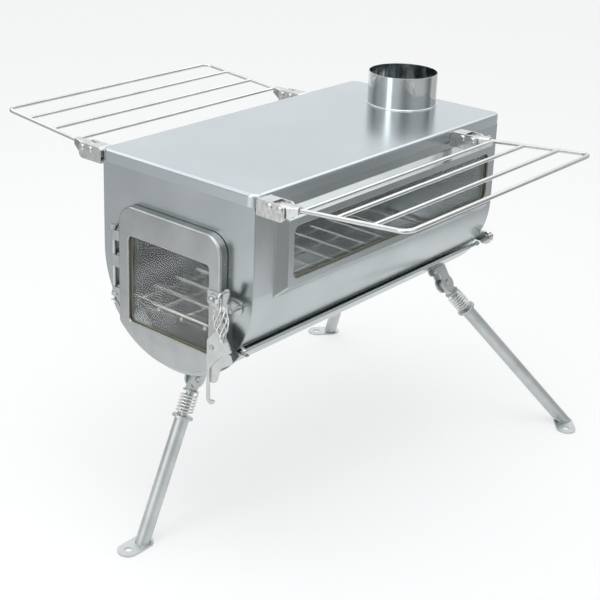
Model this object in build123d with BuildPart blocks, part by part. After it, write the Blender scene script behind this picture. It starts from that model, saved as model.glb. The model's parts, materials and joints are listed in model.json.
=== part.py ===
import math
import os

from build123d import *

os.makedirs("parts", exist_ok=True)

# Tent wood stove: a sheet steel firebox with a round belly on three folding legs,
# a glazed door, a glazed side window, two folding wire shelves and a flue collar.
# Millimetres, +Z up, floor at Z = 0, X = 0 on the firebox's middle plane, door towards -Y.

# Firebox
body_width = 254.0
body_length = 508.0
plate_height = 487.0
axis_depth = 128.0
shell_wall = 1.5
end_wall = 2.0
top_wall = 2.0
lip_depth = 15.5
lip_overhang = 3.0
lip_wall = 1.5
lip_corner = 12.0
lip_bend = 4.2
lip_play = 0.2

# Flue collar
collar_outer = 98.0
collar_wall = 1.2
collar_height = 45.5
collar_from_rear = 54.0
collar_bead = 1.6

# Door
door_width = 175.0
door_top_drop = 60.0
door_arc_radius = 126.0
door_depth = 12.0
door_gap = 1.0
door_wall = 1.5
door_corner = 24.0
door_foot_corner = 8.0
door_edge_radius = 3.0
pane_width = 138.0
pane_top_drop = 98.0
pane_height = 115.0
pane_corner = 6.0
pane_roll = 1.3
glass_thickness = 4.0
glass_lap = 5.5
gasket_thickness = 1.0
gasket_width = 5.0
gasket_lap = 0.3
retainer_wall = 1.2
retainer_lap = 1.5
retainer_inner_lap = 0.5
stud_offset = 10.0
stud_radius = 2.0
stud_hole_play = 0.2
stud_rows = 3
stud_margin = 14.0
nut_across = 7.0
nut_height = 2.8
ear_radius = 4.2
door_hole_margin = 7.0

# Door hinge
hinge_pin_radius = 2.0
hinge_play = 0.05
hinge_side = 14.5
hinge_forward = 6.0
knuckle_radius = 3.4
knuckle_gap = 0.5
hinge_top_drop = 99.5
door_knuckle_heights = (13.0, 16.0, 7.0)
body_knuckle_heights = (19.0, 27.0)
hinge_strap = 1.6
hinge_nut_height = 5.5
hinge_nut_radius = 4.6

# Latch on the door and its keeper on the front plate
keeper_width = 23.5
keeper_height = 18.0
keeper_wall = 2.0
keeper_drop = 135.0
keeper_from_door = 1.5
keeper_corner = 8.0
keeper_pin_radius = 2.5
keeper_pin_length = 16.0
keeper_pin_from_edge = 4.5
keeper_pin_drop = 143.0
latch_base_width = 17.0
latch_base_height = 18.0
latch_base_wall = 1.5
latch_base_drop = 127.0
latch_pivot_in = 9.8
latch_pivot_drop = 137.0
latch_rivet_radius = 3.4
latch_rivet_hole = 2.5
rivet_washer = 0.8
rivet_washer_lap = 1.2
rivet_head = 1.6
rivet_dome = 0.9
latch_wall = 2.5
latch_play = 0.2
latch_arm_radius = 6.5
latch_notch_play = 0.6
latch_notch_flare = 3.0
latch_tab_side = 24.0
latch_tab_drop = 121.0
latch_tab_radius = 4.0
grip_forward = 30.0
grip_lean = 8.5
grip_top_drop = 3.0
grip_length = 52.0
grip_stem_radius = 1.6
grip_stem_bend = 4.0
grip_radius = 8.4
grip_end_radius = 3.2
grip_wire_radius = 1.0
grip_wires = 7
grip_twist = 180.0
grip_steps = 4
grip_fullness = 0.8
grip_slope = 0.85
ferrule_radius = 4.6
ferrule_length = 4.5

# Air lever on the lower corner of the door
lever_wall = 1.9
lever_back_wall = 1.2
lever_pivot_in = 9.5
lever_pivot_drop = 199.0
lever_crown_drop = 172.0
lever_tip_out = 22.5
lever_tip_drop = 196.0
lever_strap_width = 5.0
lever_strap_drop = 268.0
lever_hook_radius = 4.0
lever_crown_rise = 3.0
lever_tip_round = 4.0
lever_rivet_head = 0.6
lever_lobe_radius = 7.5
lever_low_lobe_radius = 9.0
lever_lobe_drop = 207.0
lever_waist_drop = 220.0
lever_low_lobe_drop = 237.0

# Side window
window_height = 67.0
window_start = 57.0
window_rear_margin = 35.0
window_drop = 49.0
window_corner = 10.0
window_band = 9.0
window_flare = 12.0
window_edge_round = 3.0
window_hole_play = 1.0
window_stand = 12.0
window_wall = 1.5
window_lap = 5.5
window_gasket = 1.2
window_glass = 4.0
window_retainer = 1.2
window_tabs = 4
window_tab_width = 14.0
window_tab_wall = 1.2
window_tab_foot = 5.0
window_gasket_lap = 0.5
window_retainer_lap = 1.0

# Log grate
grate_drop = 196.0
grate_wire = 4.6
grate_pitch = 40.0
grate_long_wires = 5
grate_end_gap = 9.0
grate_overlap = 0.6
grate_cross_half = 92.0
grate_foot_rows = 3
grate_foot_play = 0.15

# Heat shield under the belly
shield_gap = 3.0
shield_wall = 1.0
shield_angle = 55.0
shield_rod = 5.0
shield_rod_angle = 56.6
shield_rod_radius = 132.0
shield_lip_width = 6.0
shield_lip_wall = 1.2
spacer_width = 34.0
spacer_length = 34.0
spacer_play = 0.1
cap_radius = 3.6
cap_length = 3.0
clip_length = 4.5
clip_wall = 1.3
clip_play = 0.05
clip_from_front = 2.0
clip_tail = 5.5
clip_tail_drop = 1.2
clip_seat_gap = 0.15
rear_strip_width = 12.0
rear_strip_wall = 1.5
knob_side = 121.0
knob_drop = 189.0
knob_radius = 10.0
knob_length = 9.0
knob_flutes = 8
knob_flute_radius = 2.0
knob_stud_radius = 2.5
knob_play = 0.05
knob_gap = 0.3

# Legs
leg_side_angle = 32.5
leg_front_tilt = 25.0
leg_rear_tilt = 27.5
leg_inset = 37.0
pivot_radius = 157.5
cheek_gap = 9.0
cheek_wall = 2.5
cheek_width = 19.0
cheek_round = 12.5
cheek_base_gap = 0.15
lobe_radius = 5.0
bolt_radius = 3.0
bolt_play = 0.05
bolt_head_radius = 5.2
bolt_head_height = 2.8
tongue_width = 8.4
tongue_half = 7.5
tongue_reach = 17.0
seat_radius = 10.5
seat_thickness = 1.6
inner_rod_radius = 5.2
spring_coils = 5.5
spring_mean_radius = 10.9
spring_wire_radius = 1.1
spring_end_bend = 2.6
flange_at = 51.0
flange_radius = 13.8
flange_thickness = 3.6
tube_radius = 9.5
tube_wall = 1.5
foot_radius = 14.0
foot_reach = 25.0
foot_thickness = 2.5
peg_hole_radius = 5.0
rear_foot_turn = 39.7

# Folding shelves
shelf_front = 8.0
shelf_span = 386.0
shelf_pivot_side = 165.0
shelf_pivot_drop = 7.0
shelf_tilt = 5.2
shelf_wire = 5.4
shelf_bar_wire = 5.0
shelf_bars = (189.5, 236.0, 284.5)
shelf_reach = 328.5
shelf_corner = 12.0
bracket_gap = 16.0
bracket_wall = 2.0
bracket_start_gap = 0.2
bracket_end = 171.5
bracket_top_drop = 1.5
bracket_height = 20.5
bracket_web = 9.0
bracket_roof_play = 0.4
bracket_round = 7.0
bracket_back_round = 5.0
bracket_pin_radius = 2.5
bracket_pin_head = 4.2
bracket_pin_head_height = 2.2
bracket_pin_play = 0.05
lock_pin_side = 149.5
hood_play = 0.4
hood_wall = 1.5
hood_back = 8.0
hood_forward = 21.5
hood_rod_gap = 0.1
hood_depth = 10.0
hood_rod_back = 5.5
hood_knee = 7.5
hood_top_round = 2.2

# Places worked out from the sizes above
window_length = body_length - window_start - window_rear_margin
radius = body_width / 2
axis_z = plate_height - axis_depth
under_top = plate_height - top_wall
foot_tilt_tan = math.tan(math.radians(leg_front_tilt))
front_pivot_z = axis_z - pivot_radius
side_cos = math.cos(math.radians(leg_side_angle))
rear_pivot_z = axis_z - pivot_radius * side_cos
front_step = foot_tilt_tan * (front_pivot_z - foot_thickness)
rear_step = math.tan(math.radians(leg_rear_tilt)) * (rear_pivot_z - foot_thickness) / side_cos
reach_before = front_step - leg_inset + foot_reach + foot_radius
reach_behind = body_length - leg_inset + rear_step + foot_radius
front_y = (reach_before - reach_behind) / 2
rear_y = front_y + body_length
inner_front = front_y + end_wall
inner_rear = rear_y - end_wall
collar_y = rear_y - collar_from_rear
shield_inner = radius + shield_gap
shield_outer = shield_inner + shield_wall


def front(y):
    """Upright plane facing the door side, with X and Z as its own directions."""
    return Plane((0, y, 0), x_dir=(1, 0, 0), z_dir=(0, -1, 0))


def side(x):
    """Upright plane facing right, with Y and Z as its own directions."""
    return Plane((x, 0, 0), x_dir=(0, 1, 0), z_dir=(1, 0, 0))


def below_top(drop):
    """Height of a point that lies this far under the top plate's surface."""
    return plate_height - drop


def save(piece, name):
    """Label a finished piece and write it."""
    piece.part.label = name
    export_step(piece.part, f"parts/{name}.step")


def trough(plane, r, top):
    """Cross-section of the firebox: upright sides over a half circle."""
    with BuildSketch(plane) as outline:
        with BuildLine():
            ThreePointArc((-r, axis_z), (0, axis_z - r), (r, axis_z))
            Polyline((r, axis_z), (r, top), (-r, top), (-r, axis_z))
        make_face()
    return outline.sketch


def door_outline(plane, half, top, arc, top_round, foot_round):
    """Door shape: straight top and sides over an arc that follows the belly."""
    turn_z = axis_z - math.sqrt(arc**2 - half**2)
    with BuildSketch(plane) as outline:
        with BuildLine():
            ThreePointArc((-half, turn_z), (0, axis_z - arc), (half, turn_z))
            Polyline((half, turn_z), (half, top), (-half, top), (-half, turn_z))
        make_face()
        fillet(outline.vertices().sort_by(Axis.Y)[-2:], top_round)
        fillet(outline.vertices().filter_by(lambda v: abs(v.Y - turn_z) < 0.01), foot_round)
    return outline.sketch


def frame_ring(plane, width, height, lap_out, lap_in, corner, centre):
    """Rectangular ring round an opening, wider by lap_out outside and lap_in inside."""
    with BuildSketch(plane) as ring:
        with Locations(centre):
            RectangleRounded(width + 2 * lap_out, height + 2 * lap_out, corner + lap_out)
            RectangleRounded(width + 2 * lap_in, height + 2 * lap_in, corner, mode=Mode.SUBTRACT)
    return ring.sketch


def belly_arc(plane, inner, outer, half_angle):
    """Strip of a ring round the belly's axis, centred on straight down."""
    def at(r, angle):
        return (r * math.sin(math.radians(angle)), axis_z - r * math.cos(math.radians(angle)))

    with BuildSketch(plane) as strip:
        with BuildLine():
            ThreePointArc(at(inner, -half_angle), at(inner, 0), at(inner, half_angle))
            Line(at(inner, half_angle), at(outer, half_angle))
            ThreePointArc(at(outer, half_angle), at(outer, 0), at(outer, -half_angle))
            Line(at(outer, -half_angle), at(inner, -half_angle))
        make_face()
    return strip.sketch


def bar(plane, start, finish, r):
    """Flat bar with round ends."""
    with BuildSketch(plane) as strip:
        with Locations(start, finish):
            Circle(r)
        make_hull()
    return strip.sketch


def biarc_path(points, tangents):
    """Smooth chain of arc pairs through points, each pair keeping the tangents given."""
    edges = []
    for i in range(len(points) - 1):
        start, finish = points[i], points[i + 1]
        t0, t1 = tangents[i].normalized(), tangents[i + 1].normalized()
        span = finish - start
        both = span.dot(t0 + t1)
        bend = 2 * (1 - t0.dot(t1))
        if bend < 1e-9:
            edges.append(Edge.make_line(start, finish))
            continue
        reach = (math.sqrt(both**2 + bend * span.dot(span)) - both) / bend
        middle = (start + finish + (t0 - t1) * reach) * 0.5
        edges.append(Edge.make_tangent_arc(start, t0, middle))
        edges.append(Edge.make_tangent_arc(middle, edges[-1].tangent_at(1), finish))
    return edges


def least_gap(path, wire, far):
    """Least space between turns of one wire, from points further apart than far along it."""
    count = max(200, int(path.length / 1.2))
    points = [path.position_at(i / count) for i in range(count + 1)]
    step = path.length / count
    skip = int(far / step) + 1
    nearest = min(
        (points[i] - points[j]).length for i in range(len(points)) for j in range(i + skip, len(points))
    )
    return nearest - 2 * wire


# Space outside the lid's rounded corners, which the firebox's corners are notched to
lid_half = radius + lip_overhang
lid_length = body_length + 2 * lip_overhang
body_mid_y = (front_y + rear_y) / 2
with BuildPart() as corner_notches:
    with BuildSketch(Plane.XY.offset(below_top(lip_depth) - lip_play)):
        with Locations((0, body_mid_y)):
            Rectangle(2 * lid_half + lip_corner, lid_length + lip_corner)
            RectangleRounded(2 * (lid_half - lip_wall - lip_play),
                             lid_length - 2 * (lip_wall + lip_play), lip_corner - lip_wall,
                             mode=Mode.SUBTRACT)
    extrude(amount=2 * lip_depth)

# Firebox shell: one bent trough with the side window's opening
window_mid = (front_y + window_start + window_length / 2, below_top(window_drop + window_height / 2))
with BuildPart() as firebox_shell:
    extrude(trough(front(inner_rear), radius, under_top), amount=inner_rear - inner_front)
    extrude(trough(front(inner_rear), radius - shell_wall, plate_height),
            amount=inner_rear - inner_front, mode=Mode.SUBTRACT)
    with BuildSketch(side(radius - 2 * shell_wall)):
        with Locations(window_mid):
            RectangleRounded(window_length + 2 * (window_lap + window_hole_play),
                             window_height + 2 * (window_lap + window_hole_play), window_corner)
    extrude(amount=3 * shell_wall, mode=Mode.SUBTRACT)
    add(corner_notches.part, mode=Mode.SUBTRACT)
save(firebox_shell, "firebox_shell")

# Front plate with the door's opening
door_half = door_width / 2
with BuildPart() as front_plate:
    extrude(trough(front(inner_front), radius, under_top), amount=end_wall)
    extrude(door_outline(front(inner_front + end_wall), pane_width / 2 + door_hole_margin,
                         below_top(pane_top_drop - door_hole_margin),
                         door_arc_radius - 2 * door_hole_margin, pane_corner, pane_corner),
            amount=3 * end_wall, mode=Mode.SUBTRACT)
    add(corner_notches.part, mode=Mode.SUBTRACT)
save(front_plate, "front_plate")

with BuildPart() as rear_plate:
    extrude(trough(front(rear_y), radius, under_top), amount=end_wall)
    add(corner_notches.part, mode=Mode.SUBTRACT)
save(rear_plate, "rear_plate")

# Top plate: a shallow lid with rounded corners, its lip outside the firebox
with BuildPart() as top_plate:
    with BuildSketch(Plane.XY.offset(below_top(lip_depth))):
        with Locations((0, body_mid_y)):
            RectangleRounded(2 * lid_half, lid_length, lip_corner)
    extrude(amount=lip_depth)
    fillet(top_plate.edges().group_by(Axis.Z)[-1], lip_bend)
    with BuildSketch(Plane.XY.offset(below_top(lip_depth))):
        with Locations((0, body_mid_y)):
            RectangleRounded(2 * (lid_half - lip_wall), lid_length - 2 * lip_wall,
                             lip_corner - lip_wall)
    extrude(amount=lip_depth - top_wall, mode=Mode.SUBTRACT)
    with BuildSketch(Plane.XY.offset(under_top)):
        with Locations((0, collar_y)):
            Circle(collar_outer / 2 - collar_wall)
    extrude(amount=top_wall, mode=Mode.SUBTRACT)
save(top_plate, "top_plate")

# Flue collar with its weld bead
with BuildPart() as flue_collar:
    with BuildSketch(Plane.XY.offset(plate_height)):
        with Locations((0, collar_y)):
            Circle(collar_outer / 2)
            Circle(collar_outer / 2 - collar_wall, mode=Mode.SUBTRACT)
    extrude(amount=collar_height)
    with BuildSketch(Plane((0, collar_y, plate_height), x_dir=(1, 0, 0), z_dir=(0, -1, 0))):
        with Locations((collar_outer / 2, 0)):
            Circle(collar_bead)
            Rectangle(4 * collar_bead, 2 * collar_bead, align=(Align.CENTER, Align.MAX), mode=Mode.SUBTRACT)
            Rectangle(2 * collar_bead, 2 * collar_bead, align=(Align.MAX, Align.MIN), mode=Mode.SUBTRACT)
    revolve(axis=Axis((0, collar_y, 0), (0, 0, 1)))
save(flue_collar, "flue_collar")

# Side window: a pressed frame that stands off the shell, with glass held from inside
stand_x = radius + window_stand


def frustum(outer_x, inner_x, face_lap, base_lap, corner):
    """Solid that narrows from the shell to the frame's face."""
    with BuildPart() as block:
        with BuildSketch(side(inner_x)):
            with Locations(window_mid):
                RectangleRounded(window_length + 2 * base_lap, window_height + 2 * base_lap, corner)
        with BuildSketch(side(outer_x)):
            with Locations(window_mid):
                RectangleRounded(window_length + 2 * face_lap, window_height + 2 * face_lap, corner)
        loft(ruled=True)
    return block.part


frame_outside = frustum(stand_x, radius, window_band, window_band + window_flare, window_edge_round)
frame_inside = frustum(stand_x - window_wall, radius, window_band - window_wall,
                       window_band + window_flare - window_wall, window_edge_round - window_wall)
with BuildPart() as window_frame:
    add(frame_outside)
    add(frame_inside, mode=Mode.SUBTRACT)
    with BuildSketch(side(radius)):
        with Locations(window_mid):
            RectangleRounded(window_length, window_height, window_corner)
    extrude(amount=2 * window_stand, mode=Mode.SUBTRACT)
save(window_frame, "window_frame")

gasket_x = stand_x - window_wall - window_gasket
glass_x = gasket_x - window_glass
inner_gasket_x = glass_x - window_gasket
retainer_x = inner_gasket_x - window_retainer
with BuildPart() as window_gasket_rings:
    for x in (gasket_x, inner_gasket_x):
        ring = frame_ring(side(x), window_length, window_height, window_lap, window_gasket_lap,
                          window_corner, window_mid)
        extrude(ring, amount=window_gasket)
save(window_gasket_rings, "window_gasket")

with BuildPart() as window_pane:
    with BuildSketch(side(glass_x)):
        with Locations(window_mid):
            RectangleRounded(window_length + 2 * window_lap, window_height + 2 * window_lap, window_corner)
    extrude(amount=window_glass)
save(window_pane, "window_glass")

with BuildPart() as window_ring:
    ring = frame_ring(side(retainer_x), window_length, window_height, window_lap, window_retainer_lap,
                      window_corner, window_mid)
    extrude(ring, amount=window_retainer)
save(window_ring, "window_retainer")

# Bent tabs on the shell's inner face press the retainer home
tab_edge = window_height / 2 + window_lap + window_hole_play
shell_face = radius - shell_wall
tab_pitch = window_length / window_tabs
tab_inner = shell_face - window_tab_wall
with BuildPart() as window_tab_group:
    for side_sign in (1, -1):
        for i in range(window_tabs):
            middle_y = window_mid[0] + tab_pitch * (i - (window_tabs - 1) / 2)
            edge_z = window_mid[1] + side_sign * tab_edge
            tip_z = edge_z - side_sign * 2 * window_tab_wall
            foot_z = edge_z + side_sign * window_tab_foot
            rest_z = tip_z - side_sign * window_tab_wall
            with BuildSketch(Plane((0, middle_y + window_tab_width / 2, 0), x_dir=(1, 0, 0),
                                   z_dir=(0, -1, 0))):
                with BuildLine():
                    Polyline((shell_face, foot_z), (tab_inner, foot_z), (tab_inner, rest_z),
                             (retainer_x, rest_z), (retainer_x, tip_z), (shell_face, tip_z),
                             (shell_face, foot_z))
                make_face()
            extrude(amount=window_tab_width)
save(window_tab_group, "window_clips")

# Log grate: a welded wire grid with short feet on the curved wall
grate_z = below_top(grate_drop)
cross_z = grate_z + grate_wire - grate_overlap
grate_start = inner_front + grate_end_gap
grate_end = inner_rear - grate_end_gap
cross_count = int((grate_end - grate_start) // grate_pitch) + 1
cross_first = (grate_start + grate_end) / 2 - grate_pitch * (cross_count - 1) / 2
grate_side = grate_pitch * (grate_long_wires - 1) / 2
with BuildPart() as log_grate:
    with BuildSketch(front(grate_end)):
        for i in range(grate_long_wires):
            with Locations((i * grate_pitch - grate_side, grate_z)):
                Circle(grate_wire / 2)
    extrude(amount=grate_end - grate_start)
    with BuildSketch(side(-grate_cross_half)):
        for i in range(cross_count):
            with Locations((cross_first + i * grate_pitch, cross_z)):
                Circle(grate_wire / 2)
    extrude(amount=2 * grate_cross_half)
save(log_grate, "log_grate")

foot_outer = grate_side + grate_wire / 2
foot_bottom = axis_z - math.sqrt((radius - shell_wall)**2 - foot_outer**2) + grate_foot_play
foot_pitch = (cross_count - 3) * grate_pitch / (grate_foot_rows - 1)
foot_top = grate_z - grate_wire / 2
with BuildPart() as grate_feet:
    with BuildSketch(Plane.XY.offset(foot_bottom)):
        for i in range(grate_foot_rows):
            for x in (-grate_side, grate_side):
                with Locations((x, cross_first + grate_pitch + i * foot_pitch)):
                    Circle(grate_wire / 2)
    extrude(amount=foot_top + grate_overlap - foot_bottom)
    with BuildSketch(front(grate_end)):
        for x in (-grate_side, grate_side):
            with Locations((x, grate_z)):
                Circle(grate_wire / 2)
    extrude(amount=grate_end - grate_start, mode=Mode.SUBTRACT)
save(grate_feet, "grate_feet")

# Heat shield, its spacers, edge rods, end caps, front clips and rear strip
with BuildPart() as heat_shield:
    extrude(belly_arc(front(rear_y), shield_inner, shield_outer, shield_angle), amount=body_length)
save(heat_shield, "heat_shield")

leg_places = (
    ("front", 0.0, front_y + leg_inset, -leg_front_tilt, 0.0),
    ("right", leg_side_angle, rear_y - leg_inset, leg_rear_tilt, rear_foot_turn),
    ("left", -leg_side_angle, rear_y - leg_inset, leg_rear_tilt, -rear_foot_turn),
)
spacer_angle = math.degrees(spacer_width / radius / 2)
with BuildPart() as shield_spacers:
    for name, turn, y, tilt, foot_turn in leg_places:
        strip = belly_arc(front(y + spacer_length / 2), radius + spacer_play, shield_inner - spacer_play,
                          spacer_angle)
        turned = strip.rotate(Axis((0, 0, axis_z), (0, 1, 0)), -turn)
        extrude(turned, amount=spacer_length, dir=(0, -1, 0))
save(shield_spacers, "shield_spacers")


def rod_place(sign):
    """Centre of a shield edge rod in X and Z."""
    turn = math.radians(shield_rod_angle)
    return (sign * shield_rod_radius * math.sin(turn), axis_z - shield_rod_radius * math.cos(turn))


with BuildPart() as shield_rods:
    with BuildSketch(front(rear_y)):
        with Locations(rod_place(1), rod_place(-1)):
            Circle(shield_rod / 2)
    extrude(amount=body_length)
    extrude(belly_arc(front(rear_y), shield_inner - shield_gap, shield_outer + shield_rod, shield_angle),
            amount=body_length, mode=Mode.SUBTRACT)
    with BuildSketch(front(rear_y + cap_length)):
        with Locations(rod_place(1), rod_place(-1)):
            Circle(cap_radius)
    extrude(amount=cap_length)
save(shield_rods, "shield_edge_rods")

with BuildPart() as shield_lip:
    extrude(belly_arc(front(front_y), radius + spacer_play, shield_outer + shield_lip_width / 2,
                      shield_angle), amount=shield_lip_wall)
save(shield_lip, "shield_front_lip")

# Each clip is bent round its rod, with one end on the firebox and a short tail outside
clip_y = front_y + clip_from_front + clip_length
clip_inner = shield_rod / 2 + clip_play
clip_outer = clip_inner + clip_wall
rod_x, rod_z = rod_place(1)
rod_turn = math.radians(shield_rod_angle)
clip_rod_frame = Plane((rod_x, clip_y, rod_z), x_dir=(math.sin(rod_turn), 0, -math.cos(rod_turn)),
                       z_dir=(0, -1, 0))
tail_start = (rod_x + (clip_outer - clip_wall / 2) * math.sin(rod_turn),
              rod_z - (clip_outer - clip_wall / 2) * math.cos(rod_turn))
tail_end = (tail_start[0] + clip_tail, tail_start[1] - clip_tail_drop)
with BuildPart() as right_clip:
    with BuildSketch(clip_rod_frame):
        Circle(clip_outer)
        Circle(clip_inner, mode=Mode.SUBTRACT)
        Rectangle(2 * clip_outer, 2 * clip_outer, align=(Align.MAX, Align.CENTER), mode=Mode.SUBTRACT)
        with Locations((0, clip_inner)):
            Rectangle(shield_rod_radius - radius - clip_seat_gap, clip_wall,
                      align=(Align.MAX, Align.MIN))
    extrude(amount=clip_length)
    extrude(bar(front(clip_y), tail_start, tail_end, clip_wall / 2), amount=clip_length)

with BuildPart() as shield_clips:
    add(right_clip.part)
    mirror(right_clip.part, about=Plane.YZ)
save(shield_clips, "shield_clips")

knob_z = below_top(knob_drop)
strip_face = rear_y + rear_strip_wall
with BuildPart() as rear_strip:
    with BuildSketch(front(strip_face)):
        with Locations((0, knob_z)):
            SlotCenterToCenter(2 * knob_side, rear_strip_width)
    extrude(amount=rear_strip_wall)
    with BuildSketch(front(strip_face + knob_gap + knob_length)):
        with Locations((knob_side, knob_z), (-knob_side, knob_z)):
            Circle(knob_stud_radius)
    extrude(amount=knob_gap + knob_length)
save(rear_strip, "rear_strip")

for label, sign in (("right", 1), ("left", -1)):
    with BuildPart() as knob:
        with BuildSketch(front(strip_face + knob_gap + knob_length)):
            with Locations((sign * knob_side, knob_z)):
                Circle(knob_radius)
                Circle(knob_stud_radius + knob_play, mode=Mode.SUBTRACT)
                with PolarLocations(knob_radius + knob_flute_radius / 2, knob_flutes):
                    Circle(knob_flute_radius, mode=Mode.SUBTRACT)
        extrude(amount=knob_length)
    save(knob, f"thumb_knob_{label}")

# Door: a pressed tray with its pane, gaskets, retainer, studs and nuts
door_back = front_y - door_gap
door_face = door_back - door_depth
door_top = below_top(door_top_drop)
with BuildPart() as door_hollow:
    extrude(door_outline(front(door_back), door_half - door_wall, door_top - door_wall,
                         door_arc_radius - door_wall, door_corner - door_wall,
                         door_foot_corner - door_wall), amount=door_depth - door_wall)
    fillet(door_hollow.edges().group_by(Axis.Y)[0], door_edge_radius - door_wall)

pane_mid = (0, below_top(pane_top_drop + pane_height / 2))
with BuildPart() as door_shell:
    extrude(door_outline(front(door_back), door_half, door_top, door_arc_radius, door_corner,
                         door_foot_corner), amount=door_depth)
    fillet(door_shell.edges().group_by(Axis.Y)[0], door_edge_radius)
    add(door_hollow.part, mode=Mode.SUBTRACT)
    with BuildSketch(front(door_face + 2 * door_wall)):
        with Locations(pane_mid):
            RectangleRounded(pane_width, pane_height, pane_corner)
    extrude(amount=4 * door_wall, mode=Mode.SUBTRACT)
    rim = door_shell.faces().sort_by(Axis.Y)[0].inner_wires()
    fillet(rim[0].edges(), pane_roll)
save(door_shell, "door_shell")

pane_front = door_face + door_wall + gasket_thickness
pane_back = pane_front + glass_thickness
with BuildPart() as door_gasket:
    for y in (pane_front, pane_back + gasket_thickness):
        ring = frame_ring(front(y), pane_width, pane_height, gasket_width, gasket_lap, pane_corner,
                          pane_mid)
        extrude(ring, amount=gasket_thickness)
save(door_gasket, "door_gasket")

with BuildPart() as door_glass:
    with BuildSketch(front(pane_back)):
        with Locations(pane_mid):
            RectangleRounded(pane_width + 2 * glass_lap, pane_height + 2 * glass_lap, pane_corner)
    extrude(amount=glass_thickness)
save(door_glass, "door_glass")

stud_x = pane_width / 2 + stud_offset
stud_span = pane_height - 2 * stud_margin
stud_zs = [pane_mid[1] + stud_span * (i / (stud_rows - 1) - 0.5) for i in range(stud_rows)]
stud_places = [(x, z) for x in (-stud_x, stud_x) for z in stud_zs]
retainer_back = pane_back + gasket_thickness + retainer_wall
with BuildPart() as door_retainer:
    with BuildSketch(front(retainer_back)):
        with Locations(pane_mid):
            RectangleRounded(pane_width + 2 * (glass_lap + retainer_lap),
                             pane_height + 2 * (glass_lap + retainer_lap), pane_corner)
        with Locations(stud_places):
            Circle(ear_radius)
        with Locations(pane_mid):
            RectangleRounded(pane_width + 2 * retainer_inner_lap, pane_height + 2 * retainer_inner_lap,
                             pane_corner, mode=Mode.SUBTRACT)
        with Locations(stud_places):
            Circle(stud_radius + stud_hole_play, mode=Mode.SUBTRACT)
    extrude(amount=retainer_wall)
save(door_retainer, "door_retainer")

with BuildPart() as door_studs:
    with BuildSketch(front(retainer_back + nut_height)):
        with Locations(stud_places):
            Circle(stud_radius)
    extrude(amount=retainer_back + nut_height - door_face - door_wall)
save(door_studs, "door_studs")

with BuildPart() as door_nuts:
    with BuildSketch(front(retainer_back + nut_height)):
        with Locations(stud_places):
            RegularPolygon(nut_across / 2, 6, major_radius=False)
            Circle(stud_radius, mode=Mode.SUBTRACT)
    extrude(amount=nut_height)
save(door_nuts, "door_nuts")

# Door hinge: knuckles in turn on one upright pin with a nut at each end
pin_x = -door_half - hinge_side
pin_y = front_y - hinge_forward
hinge_spans = []
hinge_z = below_top(hinge_top_drop)
for i, height in enumerate(door_knuckle_heights):
    hinge_spans.append(("door", hinge_z - height, height))
    hinge_z = hinge_z - height - knuckle_gap
    if i < len(body_knuckle_heights):
        hinge_spans.append(("body", hinge_z - body_knuckle_heights[i], body_knuckle_heights[i]))
        hinge_z = hinge_z - body_knuckle_heights[i] - knuckle_gap
hinge_bottom = hinge_z + knuckle_gap

with BuildPart() as body_knuckles:
    for owner, low, height in hinge_spans:
        if owner == "body":
            with BuildSketch(Plane.XY.offset(low)):
                with Locations((pin_x, pin_y)):
                    Circle(knuckle_radius)
                    Rectangle(2 * knuckle_radius, hinge_forward, align=(Align.CENTER, Align.MIN))
                    Circle(hinge_pin_radius + hinge_play, mode=Mode.SUBTRACT)
            extrude(amount=height)
save(body_knuckles, "hinge_body_knuckles")

with BuildPart() as door_knuckles:
    for owner, low, height in hinge_spans:
        if owner == "door":
            with BuildSketch(Plane.XY.offset(low)):
                with Locations((pin_x, pin_y)):
                    Circle(knuckle_radius)
                with Locations((pin_x, pin_y - knuckle_radius)):
                    Rectangle(hinge_side, hinge_strap, align=(Align.MIN, Align.MIN))
                with Locations((pin_x, pin_y)):
                    Circle(hinge_pin_radius + hinge_play, mode=Mode.SUBTRACT)
            extrude(amount=height)
save(door_knuckles, "hinge_door_knuckles")

pin_top = below_top(hinge_top_drop) + knuckle_gap + hinge_nut_height
pin_bottom = hinge_bottom - knuckle_gap - hinge_nut_height
with BuildPart() as hinge_pin:
    with BuildSketch(Plane.XY.offset(pin_bottom)):
        with Locations((pin_x, pin_y)):
            Circle(hinge_pin_radius)
    extrude(amount=pin_top - pin_bottom)
save(hinge_pin, "hinge_pin")

with BuildPart() as hinge_nuts:
    for low in (pin_bottom, pin_top - hinge_nut_height):
        with BuildSketch(Plane.XY.offset(low)):
            with Locations((pin_x, pin_y)):
                RegularPolygon(hinge_nut_radius, 6)
                Circle(hinge_pin_radius, mode=Mode.SUBTRACT)
        extrude(amount=hinge_nut_height)
save(hinge_nuts, "hinge_nuts")

# Keeper on the front plate and the lift latch on the door
keeper_x = door_half + keeper_from_door
keeper_end = keeper_x + keeper_width
stud_pin_x = keeper_end - keeper_pin_from_edge
stud_pin_z = below_top(keeper_pin_drop)
with BuildPart() as keeper:
    with BuildSketch(front(front_y)) as keeper_face:
        with Locations((keeper_x, below_top(keeper_drop))):
            Rectangle(keeper_width, keeper_height, align=(Align.MIN, Align.MAX))
        fillet(keeper_face.vertices().group_by(Axis.X)[-1], keeper_corner)
    extrude(amount=keeper_wall)
save(keeper, "latch_keeper")

with BuildPart() as keeper_pin:
    with BuildSketch(front(front_y - keeper_wall)):
        with Locations((stud_pin_x, stud_pin_z)):
            Circle(keeper_pin_radius)
    extrude(amount=keeper_pin_length)
    chamfer(keeper_pin.edges().group_by(Axis.Y)[0], keeper_pin_radius / 5)
save(keeper_pin, "keeper_pin")

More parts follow.
